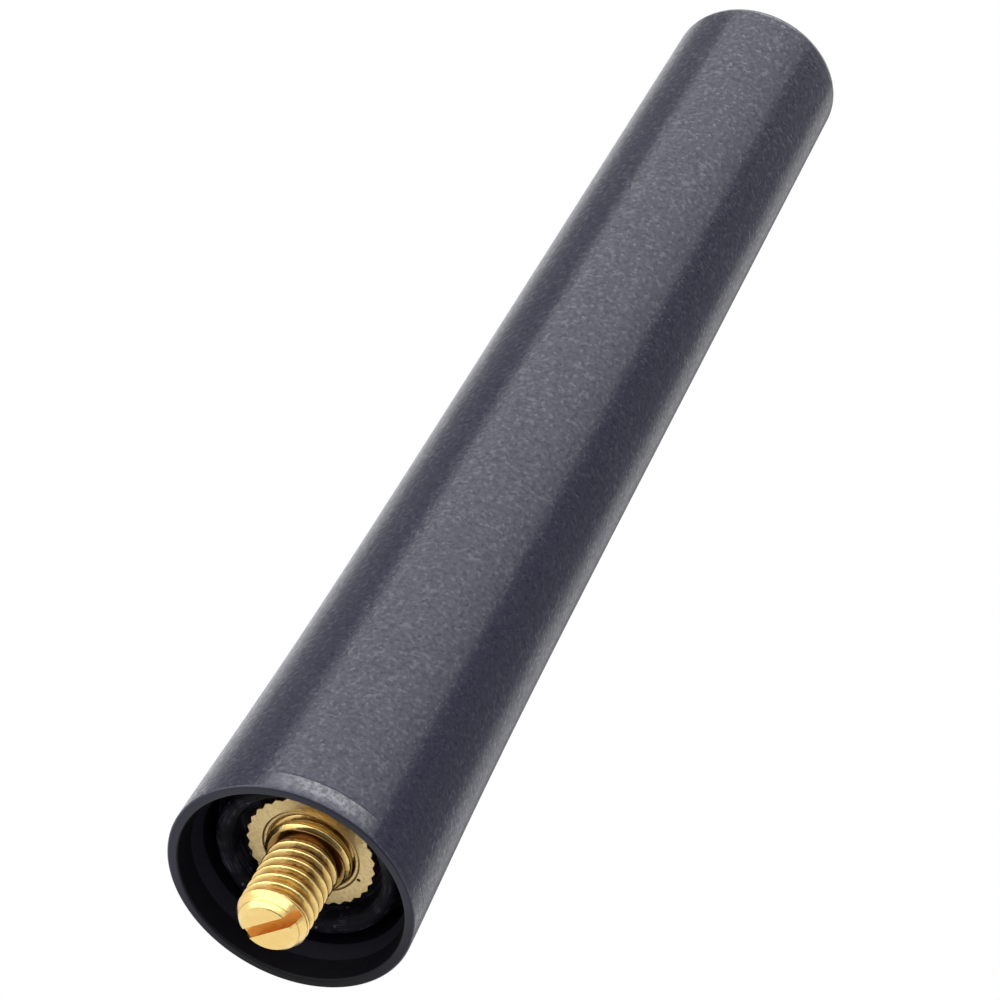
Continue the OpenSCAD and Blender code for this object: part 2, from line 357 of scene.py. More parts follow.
def buildSleeve():
    # One closed profile, from the tip's socket down the inside, round the mouth, up to the tip's
    # round edge and across its cap
    s = sleeveShape
    recess = s["mouthR"] - s["rimWall"]
    floor = recess - s["recessDraft"]
    bore = floor - s["ledgeStep"]
    edgeStart = s["length"] - s["tipEdge"]
    along = np.concatenate([np.linspace(s["flareJoin"], s["flareEnd"], s["flareRows"])[1:],
                            np.linspace(s["flareEnd"], edgeStart, s["bodyRows"])[1:]])
    outside = np.stack([sleeveOutside(along), along], 1)
    turn = np.linspace(0, np.pi / 2, s["tipRows"])[1:]
    edge = np.stack([sleeveOutside(edgeStart) - s["tipEdge"] * (1 - np.cos(turn)),
                     edgeStart + s["tipEdge"] * np.sin(turn)], 1)
    across = np.linspace(edge[-1, 0], s["poleR"], s["tipRows"])[1:]
    cap = np.stack([across, np.full_like(across, s["length"])], 1)
    profile = np.vstack([sleeveInside(bore), sleeveMouth(recess, floor, bore), outside, edge, cap])
    return revolve("sleeveShell", profile, s["columns"])


sleeveLook = {
    "dark": (0.020, 0.020, 0.040),
    "light": (0.032, 0.032, 0.057),
    "roughness": 0.20,
    "specularTint": (0.93, 0.93, 1.0),
    "specular": 0.5,
    # patterns: bumps to the millimetre, detail and roughness of the noise
    "fine": (3.1, 3.0, 0.7),
    "specks": (2.6, 1.0, 0.5),
    "grit": (2.8, 3.0, 0.75),
    "clouds": (0.35, 3.0, 0.6),
    "cloudySpecks": 0.12,
    "fineTone": 0.6,
    "cloudTone": 0.4,
    # each pattern's values at which its marks begin and are full
    "speckRange": (0.62, 0.80),
    "mottleRange": (0.38, 0.68),
    "pitRange": (0.42, 0.30),
    "gritRange": (0.38, 0.64),
    "mottleShare": 0.68,
    "coatRoughness": 0.22,
    "reliefDepth": 0.014,
    "reliefShare": 0.7,
    "fineRelief": 1.8,
    "speckRelief": 0.9,
    # pits, and a dark line of painted shade along the crease above the lip; both use the same tone and share
    "pitAndShadeTone": (0.010, 0.010, 0.022),
    "pitAndShadeShare": 0.8,
    "creaseShadeHigh": 1.72,
    "creaseShadeHalf": 0.09,
    "creaseShadeRough": 0.2,
    "creaseShadeElsewhere": 0.1,
    # the lip's painted highlight, a lighter and partly metallic band on the side the lamps light: where it
    # faces, between which shares of facing it fades in, and its heights
    "highlightSide": (-0.12, -0.99),
    "highlightRange": (0.88, 0.97),
    "lipTop": 1.62,
    "lipRange": (0.0675, 0.7425),
    "lipDark": (0.118, 0.118, 0.130),
    "lipLight": (0.268, 0.268, 0.288),
    "lipGloss": 0.85,
    "lipRoughShift": -0.04,
    "lipRoughGrit": 0.1,
    "lipRelief": 3.0,
    # the rim's flat face, and its side that is darkened and made less reflective as painted shade
    "rimTop": 0.06,
    "rim": (0.003, 0.003, 0.014),
    "rimRough": 0.24,
    "rimShade": (0.010, 0.010, 0.010),
    "rimShadeGloss": 0.85,
    "rimShadeSide": (0.5, 0.85),
    "rimShadeReach": 8.0,
}


def sleeveFinish():
    # Finely eroded matt plastic: light specks and mottle in the coat, dark pits, a brighter band beside the
    # rim on one side that is a painted highlight, painted shade along the crease above it, and a rim darker
    # on one side as painted shade
    made = Finish("sleevePlastic")
    s = sleeveLook
    x, y, z, outward = made.axes()
    rim = z < s["rimTop"]
    body = 1.0 - rim
    # the lip's painted highlight lies round one bearing, on the side the lamps light, and the crease's
    # painted shade shows mostly there
    facing = (x * s["highlightSide"][0] + y * s["highlightSide"][1]) / outward
    highlight = facing.rise(*s["highlightRange"])
    lip = z.rise(*s["lipRange"]) * (z < s["lipTop"]) * body * highlight
    # painted shade: a dark line along the crease above the lip
    creaseShade = abs(z - s["creaseShadeHigh"]).rise(s["creaseShadeHalf"], 0.0)
    creaseShade = creaseShade * (highlight * (1.0 - s["creaseShadeElsewhere"]) + s["creaseShadeElsewhere"])
    fine = made.noise(*s["fine"])
    grit = made.noise(*s["grit"])
    cloud = made.noise(*s["clouds"])
    specks = (made.noise(*s["specks"]) + cloud * s["cloudySpecks"]).rise(*s["speckRange"])
    mottle = fine.rise(*s["mottleRange"])
    pits = fine.rise(*s["pitRange"]) * body
    # painted shade: the rim's face darker on one side
    rimShade = ((x * s["rimShadeSide"][0] + y * s["rimShadeSide"][1]) / s["rimShadeReach"]).clamp() * rim
    tone = made.mix((fine * s["fineTone"] + cloud * s["cloudTone"]).clamp(), s["dark"], s["light"])
    tone = made.mix(((creaseShade + pits) * s["pitAndShadeShare"]).clamp(), tone, s["pitAndShadeTone"])
    tone = made.mix(rim, tone, s["rim"])
    tone = made.mix(rimShade, tone, s["rimShade"])
    # painted highlight: the lip's lighter tone on the lit side
    tone = made.mix(lip, tone, made.mix(grit.rise(*s["gritRange"]), s["lipDark"], s["lipLight"]))
    coat = (specks + mottle * s["mottleShare"]) * body * (1.0 - creaseShade) * (1.0 - lip) * (1.0 - pits)
    lipRough = grit * s["lipRoughGrit"] + s["lipRoughShift"]
    rough = s["roughness"] + rim * s["rimRough"] + lip * lipRough + creaseShade * s["creaseShadeRough"]
    relief = (fine * s["fineRelief"] + specks * s["speckRelief"]) * body + grit * lip * s["lipRelief"]
    # a partly metallic share lifts the lip's painted highlight and lowers the reflection on the rim's painted
    # shade
    gloss = lip * s["lipGloss"] + rimShade * s["rimShadeGloss"]
    return made.surface(Base_Color=tone, Metallic=gloss, Roughness=rough, Specular_IOR_Level=s["specular"],
                        Specular_Tint=s["specularTint"], Coat_Weight=coat.clamp(),
                        Coat_Roughness=s["coatRoughness"],
                        Normal=made.bump(relief, s["reliefDepth"], s["reliefShare"]))


liningLook = {
    # painted shade: the inside's tone is far darker than the outside's plastic
    "wall": (0.0020, 0.0020, 0.0042),
    # painted highlight: the ledge's lighter tone
    "ledge": (0.010, 0.010, 0.016),
    "ledgeLow": 1.6,
    "ledgeHigh": 2.75,
    "ledgeShare": 0.4,
    "fine": (3.0, 3.0, 0.6),
    "roughness": 0.42,
    "fineRough": 0.1,
    "specular": 0.16,
    "reliefDepth": 0.02,
    "reliefShare": 0.5,
    # a cone between the inner and the outer walls: its radius at the mouth, its slope and its top
    "coneR": 7.92,
    "coneSlope": 0.0246,
    "coneTop": 92.0,
}


def liningFinish():
    # The sleeve's inside: near-black and duller than the outside, a painted shade over the whole inside, with
    # a slightly greyer ledge that is a painted highlight
    made = Finish("sleeveLiningShaded")
    s = liningLook
    z = made.axes()[2]
    ledge = (z > s["ledgeLow"]) * (z < s["ledgeHigh"])
    fine = made.noise(*s["fine"])
    tone = made.mix(ledge * (s["ledgeShare"] + fine), s["wall"], s["ledge"])
    return made.surface(Base_Color=tone, Roughness=s["roughness"] + fine * s["fineRough"],
                        Specular_IOR_Level=s["specular"],
                        Normal=made.bump(fine, s["reliefDepth"], s["reliefShare"]))


def lineInside(mesh):
    # The second material goes on the faces whose middles lie inside the lining's cone
    s = liningLook
    middles = np.empty(len(mesh.polygons) * 3)
    mesh.polygons.foreach_get("center", middles)
    x, y, z = middles.reshape(-1, 3).T / mm
    inside = (np.hypot(x, y) < s["coneR"] - s["coneSlope"] * z) & (z < s["coneTop"])
    mesh.polygons.foreach_set("material_index", inside.astype(np.int32))
    mesh.update()


sleeveShell = buildSleeve()
sleeveShell.data.materials.append(sleeveFinish())
sleeveShell.data.materials.append(liningFinish())
lineInside(sleeveShell.data)
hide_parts("sleeve")
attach(sleeveShell, "root")
print("sleeve built:", len(sleeveShell.data.polygons), "faces")


# Stud: two real helical threads cut into the CAD node's outline

studShape = {
    "threadR": 2.5,
    "crestR": 2.49,
    "threadPitch": 0.8,
    "threadDepth": 0.48,
    "neckR": 2.97,
    "neckPitch": 1.0,
    "neckDepth": 0.40,
    "reach": 2.9,
    "leadHeight": 0.65,
    "leadCut": 0.38,
    "noseHeight": 0.36,
    "noseCut": 0.35,
    "neckStart": 2.7,
    "neckChamfer": 0.3,
    "reliefHeight": 0.3,
    "reliefCut": 0.4,
    "end": 10.28,
    "slotWidth": 0.8,
    "slotDepth": 0.9,
    "slotAngle": -57.0,
    "slotShift": -0.06,
    "cutterMargin": 1.0,
    "threadPhase": 0.29,
    "neckPhase": 0.52,
    "rootShare": 0.16,
    "crestShare": 0.12,
    "neckCrest": 0.45,
    "fadeFrom": -3.02,
    "fadeTo": -2.72,
    "rounding": 0.17,
    "poleR": 0.15,
    "slant": 0.02,
    "edge": 0.05,
    "sharpAngle": 50.0,
    "columns": 180,
    "rowStep": 0.043,
}
noseZ = -studShape["reach"] - studShape["leadHeight"] - studShape["noseHeight"]
leadR = studShape["threadR"] - studShape["leadCut"]


def threadWave(z, angle, pitch, phase, crestShare):
    # Height of a right-hand V thread, 0 at the root and 1 at the crest: a triangle wave of the turn,
    # cut off at both ends, with each corner rounded by a hyperbola
    s = studShape
    turn = (z / pitch - angle / (2 * np.pi) + phase) % 1.0
    rise = (np.abs(2 * turn - 1) - s["rootShare"]) / (1 - s["rootShare"] - crestShare)
    return (np.hypot(rise, s["rounding"]) - np.hypot(rise - 1, s["rounding"]) + 1) / 2


def studOutline():
    # The plain outline from the nose to the hidden end, as rows of (radius, height)
    s = studShape
    relief = s["neckStart"] - s["reliefHeight"]
    return smoothSteps([
        (s["poleR"], noseZ),
        (leadR - s["noseCut"], noseZ),
        (leadR, noseZ + s["noseHeight"]),
        (s["threadR"], -s["reach"]),
        (s["threadR"], relief),
        (s["threadR"] - s["reliefCut"], relief + s["slant"]),
        (s["threadR"] - s["reliefCut"], s["neckStart"]),
        (s["neckR"] - s["neckChamfer"], s["neckStart"] + s["slant"]),
        (s["neckR"], s["neckStart"] + s["neckChamfer"]),
        (s["neckR"], s["end"] - s["neckChamfer"]),
        (s["neckR"] - s["neckChamfer"], s["end"]),
        (s["poleR"], s["end"]),
    ], s["rowStep"], s["edge"])


def slotCutter():
    # A box across the nose, turned to the slot's angle
    s = studShape
    half = s["threadR"] + s["cutterMargin"]
    sides = (s["slotShift"] - s["slotWidth"] / 2, s["slotShift"] + s["slotWidth"] / 2)
    heights = (noseZ - s["cutterMargin"], noseZ + s["slotDepth"])
    corners = np.array([(x, y, z) for x in (-half, half) for y in sides for z in heights])
    swing = math.radians(s["slotAngle"])
    along, across = math.cos(swing), math.sin(swing)
    spin = np.array([[along, across, 0], [-across, along, 0], [0, 0, 1]])
    faces = [(0, 1, 3, 2), (4, 6, 7, 5), (0, 4, 5, 1), (2, 3, 7, 6), (0, 2, 6, 4), (1, 5, 7, 3)]
    return addMesh("slotCutter", corners @ spin, faces, False)


def buildStud():
    # The outline's radius by height, held under the crest's radius less the thread's depth times the
    # missing wave; the thin thread dies away before the lead chamfer
    s = studShape
    outline = studOutline()
    angle = np.arange(s["columns"]) * 2 * np.pi / s["columns"]
    limit, z = outline[:, :1], outline[:, 1:]
    fade = np.clip((z - s["fadeFrom"]) / (s["fadeTo"] - s["fadeFrom"]), 0, 1)
    wave = threadWave(z, angle, s["threadPitch"], s["threadPhase"], s["crestShare"])
    thin = s["crestR"] - s["threadDepth"] * fade * (1 - wave)
    wave = threadWave(z, angle, s["neckPitch"], s["neckPhase"], s["neckCrest"])
    thick = s["neckR"] - s["neckDepth"] * (1 - wave)
    radius = np.minimum(limit, np.where(z < s["neckStart"] - s["slant"] / 2, thin, thick))
    stud = turned("studThread", radius, np.repeat(z, s["columns"], 1))
    box = slotCutter()
    cut = stud.modifiers.new("slot", "BOOLEAN")
    cut.operation = "DIFFERENCE"
    cut.solver = "EXACT"
    cut.object = box
    bpy.context.view_layer.update()
    depsgraph = bpy.context.evaluated_depsgraph_get()
    cutMesh = bpy.data.meshes.new_from_object(stud.evaluated_get(depsgraph))
    stud.modifiers.clear()
    stud.data = cutMesh
    bpy.data.objects.remove(box)
    cutMesh.set_sharp_from_angle(angle=math.radians(s["sharpAngle"]))
    return stud


studLook = {
    "dark": (0.84, 0.55, 0.17),
    "light": (0.96, 0.74, 0.32),
    "roughness": 0.14,
    # lathe marks: bumps to the millimetre across, then detail and roughness of the noise
    "lathe": 3.0,
    "latheNoise": (3.0, 0.65),
    "stains": (0.9, 3.0, 0.6),
    "ripples": (2.3, 2.0, 0.5),
    "stainTone": 1.3,
    "latheTone": 0.2,
    "toneShift": -0.25,
    "stainRough": 0.12,
    "latheRough": 0.05,
    "latheRelief": 0.2,
    "reliefDepth": 0.036,
    "reliefShare": 0.7,
    # brown in the roots of both threads, partly patina and partly painted shade for the dark mouth they
    # reflect: up to which radius, how softly it ends, and its heights
    "brown": (0.22, 0.105, 0.028),
    "brownShare": 0.92,
    "brownFade": 0.30,
    "brownLow": -2.95,
    "threadR": 2.06,
    "neckR": 2.62,
    "neckLow": 2.38,
    "patchy": 0.16,
    # between these heights the brown climbs the thread's flanks by this much, as painted shade that grows
    # deeper in the mouth
    "shadeClimbRange": (-1.5714, 1.2857),
    "shadeClimb": 0.10,
    # the slot's walls lie this far inside the nose, from above its end face to above the slot's floor
    "slotTone": (0.74, 0.42, 0.15),
    "slotInset": 0.05,
    "slotLow": 0.015,
    "slotHigh": 0.21,
    # a thin dark line of painted shade where the nose's two chamfers meet
    "lineTone": (0.46, 0.27, 0.08),
    "lineShare": 0.8,
    "lineZ": -3.56,
    "lineHalf": 0.055,
    "lineR": 2.0,
}


def insideSlot(z, outward):
    # 1 on the slot's walls and floor, which lie inside the cones of the nose's two chamfers
    shape, look = studShape, studLook
    wall = leadR - look["slotInset"]
    nose = (z - noseZ) * (shape["noseCut"] / shape["noseHeight"]) + (wall - shape["noseCut"])
    lead = (z - (noseZ + shape["noseHeight"])) * (shape["leadCut"] / shape["leadHeight"]) + wall
    above = z > noseZ + look["slotLow"]
    below = z < noseZ + shape["slotDepth"] + look["slotHigh"]
    return above * below * (outward < nose.least(lead))


def studFinish():
    # Turned brass with lathe marks and soft stains: brown in the threads' roots, partly patina and partly
    # painted shade, bright at the crests, browner towards the neck as painted shade deeper in the mouth, a
    # painted dark line where the chamfers meet, and a warmer tone in the driver slot
    made = Finish("studBrass")
    s = studLook
    z, outward = made.axes()[2:]
    lathe = made.stretched(outward * s["lathe"], z * s["lathe"], 0.0, *s["latheNoise"])
    stain = made.noise(*s["stains"])
    ripple = made.noise(*s["ripples"])
    depth = outward + (stain - 0.5) * s["patchy"]
    # painted shade: the brown reaches further up the flanks deeper in the mouth
    shadeClimb = z.rise(*s["shadeClimbRange"]) * s["shadeClimb"]
    thread = (depth - shadeClimb).rise(s["threadR"] + s["brownFade"], s["threadR"])
    neck = depth.rise(s["neckR"] + s["brownFade"], s["neckR"])
    above = z > s["neckLow"]
    # the root brown: partly patina, partly painted shade
    brown = (thread * (1.0 - above) + neck * above) * (z > s["brownLow"])
    # painted shade: a dark line where the chamfers meet
    line = abs(z - s["lineZ"]).rise(s["lineHalf"], 0.0) * (outward > s["lineR"])
    mottle = stain * s["stainTone"] + lathe * s["latheTone"] + s["toneShift"]
    tone = made.mix(mottle.clamp(), s["dark"], s["light"])
    tone = made.mix(insideSlot(z, outward), tone, s["slotTone"])
    tone = made.mix(brown * s["brownShare"], tone, s["brown"])
    tone = made.mix(line * s["lineShare"], tone, s["lineTone"])
    rough = s["roughness"] + stain * s["stainRough"] + lathe * s["latheRough"]
    relief = lathe * s["latheRelief"] + ripple
    return made.surface(Base_Color=tone, Metallic=1.0, Roughness=rough,
                        Normal=made.bump(relief, s["reliefDepth"], s["reliefShare"]))


studThread = buildStud()
studThread.data.materials.clear()
studThread.data.materials.append(studFinish())
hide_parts("adapter_stud")
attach(studThread, "root")
print("stud built:", len(studThread.data.polygons), "faces")


# Insert: the flange with its sawn teeth and turned ring, the grooved barrel and the ferrule

insertShape = {
    "holeR": 3.0,
    "holeEnd": 10.3,
    "seatDepth": 0.06,
    "seatR": 3.10,
    "seatRise": 0.12,
    "creaseR": 3.34,
    "creaseDeep": 0.05,
    "creaseHalf": 0.05,
    "faceZ": 3.6,
    "flangeTop": 5.1,
    "flangeEdge": 0.04,
    "toothTip": 4.52,
    "toothHeight": 0.2,
    "teeth": 31,
    "firstTooth": 7.0,
    "barrelR": 3.7,
    "bandR": 4.2,
    "bandLow": 6.1,
    "bandHigh": 9.1,
    "bandTeeth": 28,
    "bandTooth": 0.2,
    "collarLow": 10.1,
    "collarHigh": 11.1,
    "ferruleR": 3.0,
    "ferruleHole": 2.25,
    "ferruleEnd": 19.2,
    "poleR": 0.1,
    "holeStep": 0.6,
    "holeRounding": 0.03,
    "creaseRows": 18,
    "faceRows": 9,
    "sharpAngle": 35.0,
    "columns": 434,
}


def sawTooth(angle, count, first):
    # 0 at each tooth's tip and 1 at its root, with straight sides
    turn = (count * (angle - first) / (2 * np.pi) + 0.5) % 1.0
    return 2 * np.abs(turn - 0.5)


def turnedRing():
    # The hole's wall, its seat and the turned ring, as rows of (radius, height): the seat lies a
    # little behind the flange's face, and the ring is a narrow bell-shaped groove at the step
    s = insertShape
    seatZ = s["faceZ"] + s["seatDepth"]
    start = s["creaseR"] - 2 * s["creaseHalf"]
    hole = smoothSteps([
        (s["poleR"], s["holeEnd"]),
        (s["holeR"], s["holeEnd"]),
        (s["holeR"], seatZ + s["seatRise"]),
        (s["seatR"], seatZ),
        (start, seatZ),
    ], s["holeStep"], s["holeRounding"])
    ring = np.linspace(start, s["creaseR"] + 3 * s["creaseHalf"], s["creaseRows"])
    away = (ring - s["creaseR"]) / s["creaseHalf"]
    dip = s["creaseDeep"] * np.exp(-away ** 2)
    crease = np.stack([ring, seatZ - s["seatDepth"] * np.clip(away + 0.5, 0, 1) + dip], 1)
    return np.vstack([hole, crease])


def buildInsert():
    # Rows of one radius each, except where the flange's and the band's teeth cut in
    s = insertShape
    angle = np.arange(s["columns"]) * 2 * np.pi / s["columns"]
    flange = s["toothTip"] - s["toothHeight"] * sawTooth(angle, s["teeth"], math.radians(s["firstTooth"]))
    band = s["bandR"] - s["bandTooth"] * sawTooth(angle, s["bandTeeth"], 0.0)
    small = s["flangeEdge"]
    inner = turnedRing()
    start = inner[-1, 0]
    rows = [*map(tuple, inner)]
    rows += [(start + (flange - small - start) * share, s["faceZ"])
             for share in np.linspace(0, 1, s["faceRows"])[1:]]
    rows += [
        (flange, s["faceZ"] + small),
        (flange, s["flangeTop"] - small),
        (flange - small, s["flangeTop"]),
        (s["barrelR"], s["flangeTop"]),
        (s["barrelR"], s["bandLow"]),
        (band, s["bandLow"]),
        (band, s["bandHigh"]),
        (s["barrelR"], s["bandHigh"]),
        (s["barrelR"], s["collarLow"]),
        (s["bandR"], s["collarLow"]),
        (s["bandR"], s["collarHigh"]),
        (s["ferruleR"], s["collarHigh"]),
        (s["ferruleR"], s["ferruleEnd"]),
        (s["ferruleHole"], s["ferruleEnd"]),
        (s["ferruleHole"], s["collarHigh"]),
        (s["poleR"], s["collarHigh"]),
    ]
    radius = np.array([r + 0 * angle for r, z in rows])
    height = np.array([z + 0 * angle for r, z in rows])
    shell = turned("insertShell", radius, height)
    shell.data.set_sharp_from_angle(angle=math.radians(s["sharpAngle"]))
    return shell


flangeLook = {
    "dark": (0.56, 0.40, 0.17),
    "light": (0.86, 0.68, 0.37),
    "roughness": 0.27,
    # brush marks: shares of x and y along them and across them, share of z, then detail and roughness
    "brushAlong": (2.2, 1.4),
    "brushAcross": (-3.0, 6.0),
    "brushUp": 3.0,
    "brushNoise": (3.0, 0.7),
    "grain": (4.0, 3.0, 0.7),
    "stains": (0.7, 3.0, 0.6),
    "brushTone": 1.5,
    "grainTone": 1.3,
    "stainTone": 0.5,
    "toneShift": -1.15,
    "grainRough": 0.12,
    "pitRough": 0.3,
    "brushRelief": 0.8,
    "grainRelief": 0.8,
    "pitRelief": -2.0,
    "reliefDepth": 0.035,
    "reliefShare": 0.8,
    # painted shade in the turned ring and at the seat's edge where the stud meets the hole: half width and
    # strength
    "shadeRings": {"creaseR": (0.09, 0.9), "seatR": (0.06, 0.8)},
    "ringShade": (0.16, 0.08, 0.02),
    "shadeTop": 3.75,
    # one small pit in the face
    "pit": (3.60, 0.05),
    "pitR": 0.15,
    "pitFloor": 0.09,
    "pitAndShadeShare": 0.95,
    "pitAndShadeTone": (0.06, 0.03, 0.008),
}


def flangeFinish():
    # Sawn brass face: brushed grain across it, soft stains, painted shade in the rings round the hole, and
    # one pit
    made = Finish("insertBrass")
    s = flangeLook
    x, y, z, outward = made.axes()
    along = x * s["brushAlong"][0] + y * s["brushAlong"][1]
    across = x * s["brushAcross"][0] + y * s["brushAcross"][1]
    brushed = made.stretched(along, across, z * s["brushUp"], *s["brushNoise"])
    grain = made.noise(*s["grain"])
    stain = made.noise(*s["stains"])
    mottle = brushed * s["brushTone"] + grain * s["grainTone"] + stain * s["stainTone"] + s["toneShift"]
    tone = made.mix(mottle.clamp(), s["dark"], s["light"])
    # painted shade in the turned ring's groove and at the seat's edge
    for place, (half, strength) in s["shadeRings"].items():
        ring = abs(outward - insertShape[place]).rise(half, 0.0) * (z < s["shadeTop"])
        tone = made.mix(ring * strength, tone, s["ringShade"])
    fromX = x - s["pit"][0]
    fromY = y - s["pit"][1]
    hollow = (fromX * fromX + fromY * fromY).sqrt().rise(s["pitR"], s["pitFloor"])
    tone = made.mix(hollow * s["pitAndShadeShare"], tone, s["pitAndShadeTone"])
    rough = s["roughness"] + grain * s["grainRough"] + hollow * s["pitRough"]
    relief = brushed * s["brushRelief"] + grain * s["grainRelief"] + hollow * s["pitRelief"]
    return made.surface(Base_Color=tone, Metallic=1.0, Roughness=rough,
                        Normal=made.bump(relief, s["reliefDepth"], s["reliefShare"]))


insertShell = buildInsert()
insertShell.data.materials.append(flangeFinish())
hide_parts("threaded_insert")
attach(insertShell, "root")
print("insert built:", len(insertShell.data.polygons), "faces")


# Finishes on the CAD nodes

plugLook = {
    "dark": (0.0030, 0.0030, 0.006),
    "patch": (0.042, 0.042, 0.058),
    "speck": (0.13, 0.13, 0.15),
    "roughness": 0.42,
    "specular": 0.11,
    # scratches to the millimetre across and to the radian along, then detail and roughness of the noise
    "scratches": 9.0,
    "scratchTurn": 1.6,
    "scratchNoise": (4.0, 0.75),
    "clouds": (0.9, 3.0, 0.65),
    "specks": 1.8,
    # values at which cloudy patches, scratches, specks and their chance begin and are full
    "patchRange": (0.44, 0.62),
    "scratchRange": (0.46, 0.60),
    "speckRange": (0.22, 0.06),
    "chanceRange": (0.72, 0.84),
    "cloudRough": 0.2,
    "scratchRelief": 1.2,
    "cloudRelief": 0.8,
    "speckRelief": 0.6,
    "reliefDepth": 0.05,
}


def plugFinish():
    # Near-black moulded plastic with fine circular scratches, cloudy patches and a few light specks
    made = Finish("plugPlastic")
    s = plugLook
    x, y, z, outward = made.axes()
    turn = x.math("ARCTAN2", y, x) * s["scratchTurn"]
    scratches = made.stretched(outward * s["scratches"], z * s["scratches"], turn, *s["scratchNoise"])
    cloud = made.noise(*s["clouds"])
    distance, chance = made.grains(s["specks"])
    specks = distance.rise(*s["speckRange"]) * chance.rise(*s["chanceRange"])
    patches = cloud.rise(*s["patchRange"]) * scratches.rise(*s["scratchRange"])
    tone = made.mix(patches, s["dark"], s["patch"])
    tone = made.mix(specks, tone, s["speck"])
    relief = scratches * s["scratchRelief"] + cloud * s["cloudRelief"] + specks * s["speckRelief"]
    return made.surface(Base_Color=tone, Roughness=s["roughness"] + cloud * s["cloudRough"],
                        Specular_IOR_Level=s["specular"], Normal=made.bump(relief, s["reliefDepth"]))


def plainFinish(name, dark, light, grainsPerMm, roughness, metallic, bumpDepth):
    # Two close tones mixed by fine noise, with a matching bump
    made = Finish(name)
    fine = made.noise(grainsPerMm, 3.0, 0.6)
    return made.surface(Base_Color=made.mix(fine, dark, light), Metallic=metallic,
                        Roughness=roughness + fine * 0.1, Normal=made.bump(fine, bumpDepth, 0.6))


# The hidden pieces: finish, dark and light tone, grains to the millimetre, roughness, metallic, bump depth
innerLooks = {
    "wound_rod": ("rodPlastic", (0.62, 0.58, 0.47), (0.78, 0.75, 0.65), 1.5, 0.4, 0.0, 0.02),
    "coil_wire": ("copper", (0.50, 0.17, 0.06), (0.72, 0.32, 0.14), 2.0, 0.22, 1.0, 0.005),
    "solder_joint": ("solder", (0.42, 0.43, 0.45), (0.62, 0.63, 0.65), 3.0, 0.3, 1.0, 0.02),
    "shrink_tube": ("tubePlastic", (0.016, 0.016, 0.018), (0.03, 0.03, 0.034), 2.5, 0.45, 0.0, 0.02),
}
nodeFinish = {"base_plug": plugFinish()}
for nodeName, look in innerLooks.items():
    nodeFinish[nodeName] = plainFinish(*look)
for nodeName, finish in nodeFinish.items():
    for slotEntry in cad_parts[nodeName].material_slots:
        slotEntry.material = finish
print("finishes set on the CAD nodes")


# Camera at the photograph's angle

cameraSettings = {
    "lens": 211.14,
    "sensor": 36.0,
    "place": (0.0, -285.317, -248.418),
    "turn": (139.4509, -20.5612, -22.1622),
    "clip": (10.0, 20000.0),
}


def setCamera():
    # The camera looks up into the mouth from below and in front
    s = cameraSettings
    data = bpy.data.cameras.new("photoCamera")
    data.lens = s["lens"]
    data.sensor_width = s["sensor"]
    data.clip_start, data.clip_end = [c * mm for c in s["clip"]]
    camera = bpy.data.objects.new("photoCamera", data)
    camera.location = [c * mm for c in s["place"]]
    camera.rotation_euler = tuple(math.radians(t) for t in s["turn"])
    bpy.context.scene.collection.objects.link(camera)
    bpy.context.scene.camera = camera


setCamera()


# Floor, lamps and cards: bearings are in degrees round the axis, 0 towards the camera, + towards +X

def bearingPoint(bearing, distance, height):
    # The point at a distance from the axis along a bearing, at a height
    turn = math.radians(bearing)
    return (distance * math.sin(turn), -distance * math.cos(turn), height)


stageSettings = {
    "floorHeight": -700.0,
    "floorHalf": 8000.0,
    "floorTone": (0.86, 0.86, 0.87),
    "floorRoughness": 0.8,
    "floorWhite": 0.7,
    "worldLight": (0.58, 0.58, 0.59),
}


def setStage():
    # A wide pale floor well below the camera, and a world that camera and gloss see as white
    s = stageSettings
    half, down = s["floorHalf"], s["floorHeight"]
    corners = [(-half, -half, down), (half, -half, down), (half, half, down), (-half, half, down)]
    floor = addMesh("floor", corners, [(0, 1, 2, 3)], False)
    paint = Finish("floorPaint")
    floor.data.materials.append(paint.surface(Base_Color=s["floorTone"], Roughness=s["floorRoughness"]))
    # what is seen of it is mixed towards white, so that it looks pale with no more light
    matt = Wire(paint, paint.shader.outputs[0])
    glow = paint.node("ShaderNodeEmission", {}, {"Color": white, "Strength": 1.0})
    paint.show("Material Output", paint.shownRays() * s["floorWhite"], matt, glow)
    floor.visible_glossy = False
    world = bpy.data.worlds.new("studioWorld")
    bpy.context.scene.world = world
    sky = NodeTree(world)
    sky.nodes.remove(sky.nodes["Background"])
    lit = sky.node("ShaderNodeBackground", {}, {"Color": (*s["worldLight"], 1.0)})
    seen = sky.node("ShaderNodeBackground", {}, {"Color": white})
    sky.show("World Output", sky.shownRays(), lit, seen)


# Two rows of upright soft lamps in front, level at the left and falling away to the right, and one low
lampSettings = {
    "tint": (0.94, 0.95, 1.0),
    "distance": 2000.0,
    "rows": {
        "front": {"low": 280.0, "high": 2720.0, "radiance": 0.63},
        "upper": {"low": 3900.0, "high": 6000.0, "radiance": 4.0},
    },
    # each strip is (bearing, width in degrees, share of its row's radiance)
    "strips": [(-63.0, 16.0, 1.0), (-45.5, 19.0, 1.0), (-26.5, 19.0, 1.02), (-8.5, 17.0, 1.08),
               (6.0, 12.0, 0.80), (18.0, 12.0, 0.52), (30.0, 12.0, 0.12)],
    "low": {"bearing": -40.0, "elevation": -32.0, "distance": 700.0, "wide": 2200.0, "high": 620.0,
            "radiance": 1.2},
}


